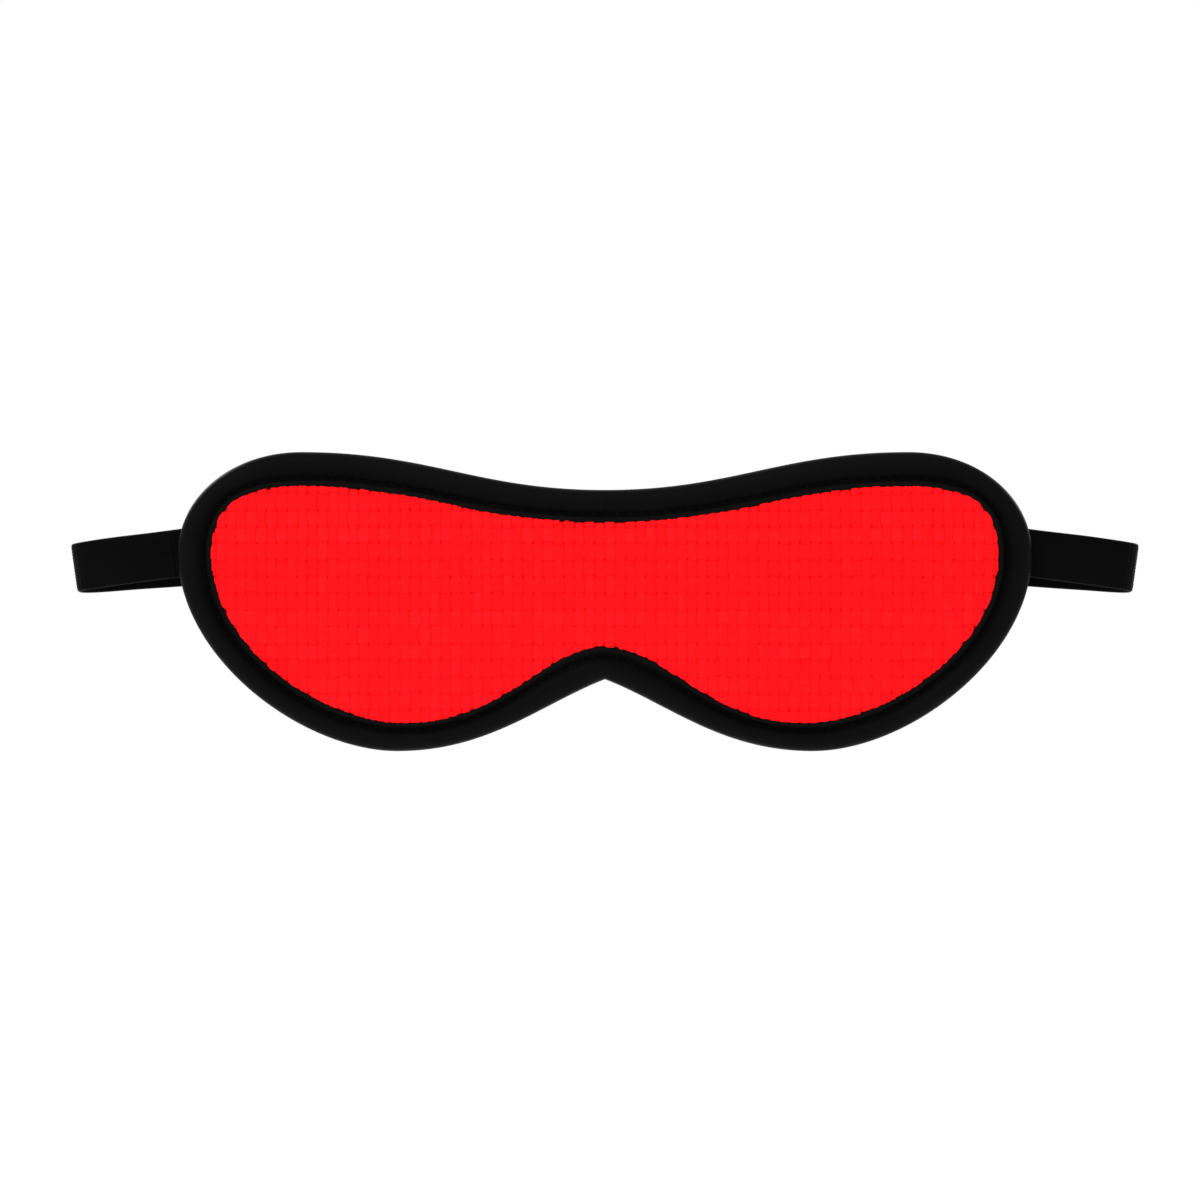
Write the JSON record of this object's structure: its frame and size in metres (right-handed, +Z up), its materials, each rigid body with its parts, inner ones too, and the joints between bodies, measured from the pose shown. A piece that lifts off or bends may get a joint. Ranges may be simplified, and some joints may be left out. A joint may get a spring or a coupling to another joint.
{
  "type": "padded eye mask",
  "caption": "Padded eye mask with a woven red front, a black bound and stitched edge, a nose notch and an elastic head strap.",
  "frame": {"origin": "middle of the lining's back face, on the mask's centre line and halfway up it, where the mask rests on the wearer's face", "axes": "+X across the mask, +Y from the mask towards the wearer's head, +Z up as worn; the woven front looks along -Y"},
  "size_m": [0.2712, 0.0285, 0.075],
  "materials": {
    "red_weave": "coarse plain weave, bright red, slight sheen on the raised yarns",
    "foam": "soft open foam, hidden inside",
    "blackout_cloth": "dense matt cloth, hidden inside",
    "lining_cloth": "fine black woven lining, soft sheen",
    "binding_leatherette": "soft black leatherette, satin, fine grain",
    "thread": "twisted black sewing thread",
    "elastic": "ribbed black elastic webbing, matt"
  },
  "bodies": {
    "mask": {"front_panel": "red_weave", "foam_pad": "foam", "blackout_layer": "blackout_cloth", "back_panel": "lining_cloth", "edge_binding": "binding_leatherette", "binding_thread_front": "thread", "binding_thread_back": "thread", "strap_left_side": "elastic", "strap_right_side": "elastic", "left_strap_tack": "thread", "right_strap_tack": "thread"},
    "head_strap": {"strap_back_run": "elastic"}
  },
  "joints": [
    {"name": "strap_pull", "type": "slide", "parent": "mask", "child": "head_strap", "axis": [0, 1, 0], "range_m": [0, 0.15], "stiffness_N_per_m": 40, "deforming": ["strap_left_side", "strap_right_side"]}
  ]
}
